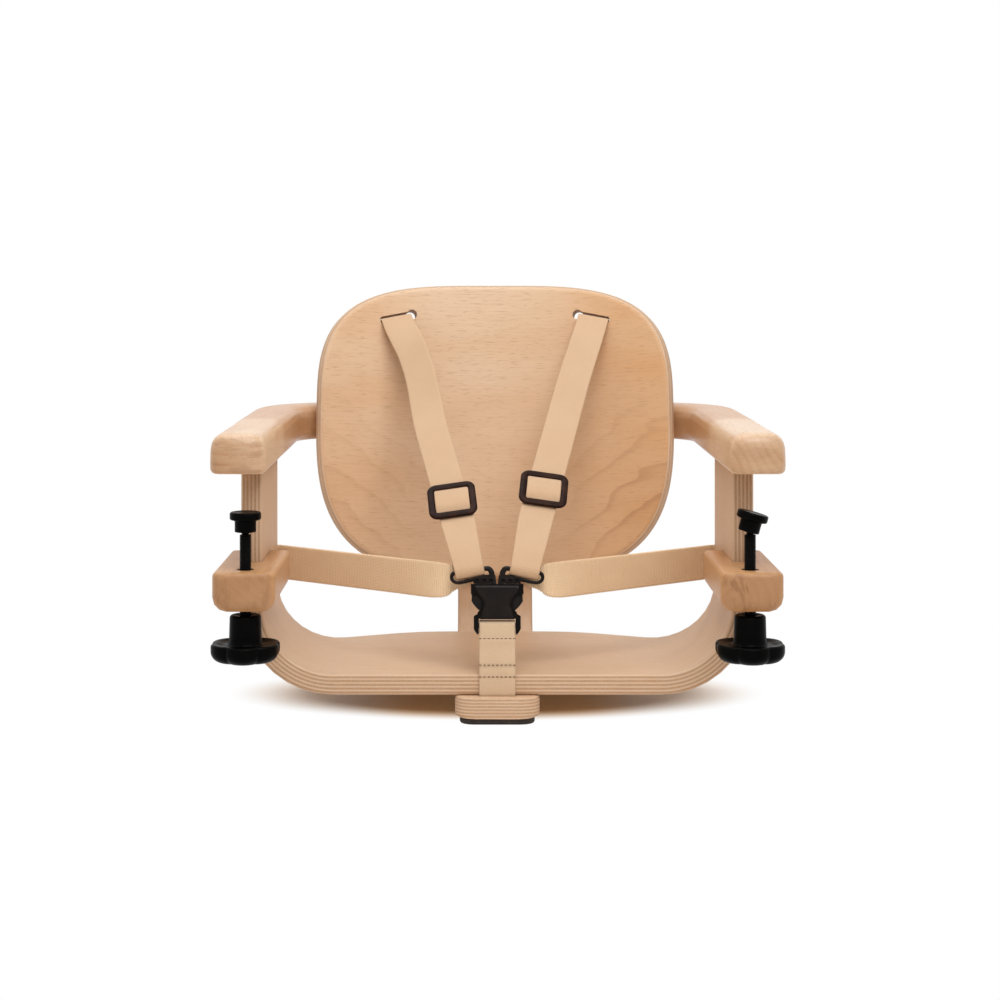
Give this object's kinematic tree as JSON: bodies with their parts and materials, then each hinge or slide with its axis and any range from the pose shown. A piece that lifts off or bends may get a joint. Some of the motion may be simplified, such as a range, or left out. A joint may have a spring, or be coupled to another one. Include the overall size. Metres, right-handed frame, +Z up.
{
  "type": "table-clamping child seat",
  "caption": "Bent plywood child seat that hangs from a table edge: beech arms on top, screw clamps with swivel pads below, curved backrest, webbing harness and split buckle.",
  "frame": {"origin": "centre of the underside of the front foot pad, on the floor", "axes": "+X to the right seen from the front, +Y towards the backrest, +Z up"},
  "size_m": [0.4002, 0.3438, 0.3112],
  "materials": {
    "ply": "clear matt lacquer on beech-faced plywood, layers bare at the edges",
    "solid_wood": "clear matt lacquer on solid beech, darker at the end grain",
    "webbing": "woven beige webbing",
    "black_plastic": "black moulded plastic, slight sheen",
    "black_steel": "blackened steel",
    "rubber": "dark brown rubber",
    "zinc_steel": "zinc-plated steel"
  },
  "bodies": {
    "chair": {"seat_shell": "ply", "backrest": "ply", "spine": "ply", "front_foot_pad": "rubber", "rear_foot_pad": "rubber", "crotch_strap": "webbing", "buckle_body": "black_plastic", "left_arm": "solid_wood", "left_clamp_block": "solid_wood", "left_shoulder_strap": "webbing", "left_lap_strap": "webbing", "left_insert_nut": "zinc_steel", "left_shoulder_anchor_screw": "zinc_steel", "left_lap_anchor_screw": "zinc_steel", "left_arm_screw_1": "zinc_steel", "left_arm_screw_2": "zinc_steel", "left_block_screw_1": "zinc_steel", "left_block_screw_2": "zinc_steel", "right_arm": "solid_wood", "right_clamp_block": "solid_wood", "right_shoulder_strap": "webbing", "right_lap_strap": "webbing", "right_insert_nut": "zinc_steel", "right_shoulder_anchor_screw": "zinc_steel", "right_lap_anchor_screw": "zinc_steel", "right_arm_screw_1": "zinc_steel", "right_arm_screw_2": "zinc_steel", "right_block_screw_1": "zinc_steel", "right_block_screw_2": "zinc_steel", "back_screw_1": "zinc_steel", "back_screw_2": "zinc_steel", "back_screw_3": "zinc_steel", "back_screw_4": "zinc_steel", "seat_screw_1": "zinc_steel", "seat_screw_2": "zinc_steel"},
    "left_tip": {"left_ball_tip": "black_steel"},
    "left_screw": {"left_clamp_screw": "black_steel", "left_knob": "black_plastic"},
    "left_pad": {"left_swivel_pad": "black_plastic"},
    "left_prong": {"left_buckle_prong": "black_plastic"},
    "left_latch": {"left_latch_arm": "black_plastic"},
    "left_adjuster": {"left_strap_adjuster": "black_plastic"},
    "right_tip": {"right_ball_tip": "black_steel"},
    "right_screw": {"right_clamp_screw": "black_steel", "right_knob": "black_plastic"},
    "right_pad": {"right_swivel_pad": "black_plastic"},
    "right_prong": {"right_buckle_prong": "black_plastic"},
    "right_latch": {"right_latch_arm": "black_plastic"},
    "right_adjuster": {"right_strap_adjuster": "black_plastic"}
  },
  "joints": [
    {"name": "left_screw_lift", "type": "slide", "parent": "chair", "child": "left_tip", "axis": [0, 0, 1], "range_m": [-0.024, 0.003]},
    {"name": "left_knob_spin", "type": "hinge", "parent": "left_tip", "child": "left_screw", "pos_m": [-0.1765, -0.0535, 0.1], "axis": [0, 0, 1], "range_deg": [-6912, 864]},
    {"name": "left_pad_tilt", "type": "hinge", "parent": "left_tip", "child": "left_pad", "pos_m": [-0.1765, -0.0535, 0.1468], "axis": [0, 1, 0], "range_deg": [-15, 15]},
    {"name": "left_prong_pull", "type": "slide", "parent": "chair", "child": "left_prong", "axis": [0, 0.2588, 0.9659], "range_m": [0, 0.035], "deforming": ["left_shoulder_strap", "left_lap_strap", "left_latch_arm"]},
    {"name": "left_latch_press", "type": "hinge", "parent": "left_prong", "child": "left_latch", "pos_m": [-0.01, -0.002, 0.0974], "axis": [0, -0.9659, 0.2588], "range_deg": [0, 12], "stiffness_Nm_per_rad": 0.05},
    {"name": "left_adjuster_slide", "type": "slide", "parent": "chair", "child": "left_adjuster", "axis": [-0.213, 0.764, 0.609], "range_m": [0, 0.06]},
    {"name": "right_screw_lift", "type": "slide", "parent": "chair", "child": "right_tip", "axis": [0, 0, 1], "range_m": [-0.024, 0.003]},
    {"name": "right_knob_spin", "type": "hinge", "parent": "right_tip", "child": "right_screw", "pos_m": [0.1765, -0.0535, 0.1], "axis": [0, 0, 1], "range_deg": [-6912, 864]},
    {"name": "right_pad_tilt", "type": "hinge", "parent": "right_tip", "child": "right_pad", "pos_m": [0.1765, -0.0535, 0.1468], "axis": [0, 1, 0], "range_deg": [-30, 0]},
    {"name": "right_prong_pull", "type": "slide", "parent": "chair", "child": "right_prong", "axis": [0, 0.2588, 0.9659], "range_m": [0, 0.035], "deforming": ["right_shoulder_strap", "right_lap_strap", "right_latch_arm"]},
    {"name": "right_latch_press", "type": "hinge", "parent": "right_prong", "child": "right_latch", "pos_m": [0.01, -0.002, 0.0974], "axis": [0, -0.9659, 0.2588], "range_deg": [-12, 0], "stiffness_Nm_per_rad": 0.05},
    {"name": "right_adjuster_slide", "type": "slide", "parent": "chair", "child": "right_adjuster", "axis": [0.213, 0.764, 0.609], "range_m": [0, 0.06]}
  ],
  "couplings": [
    {"joint": "left_knob_spin", "follows": "left_screw_lift", "rad_per_m": 5026.5},
    {"joint": "right_knob_spin", "follows": "right_screw_lift", "rad_per_m": 5026.5}
  ]
}
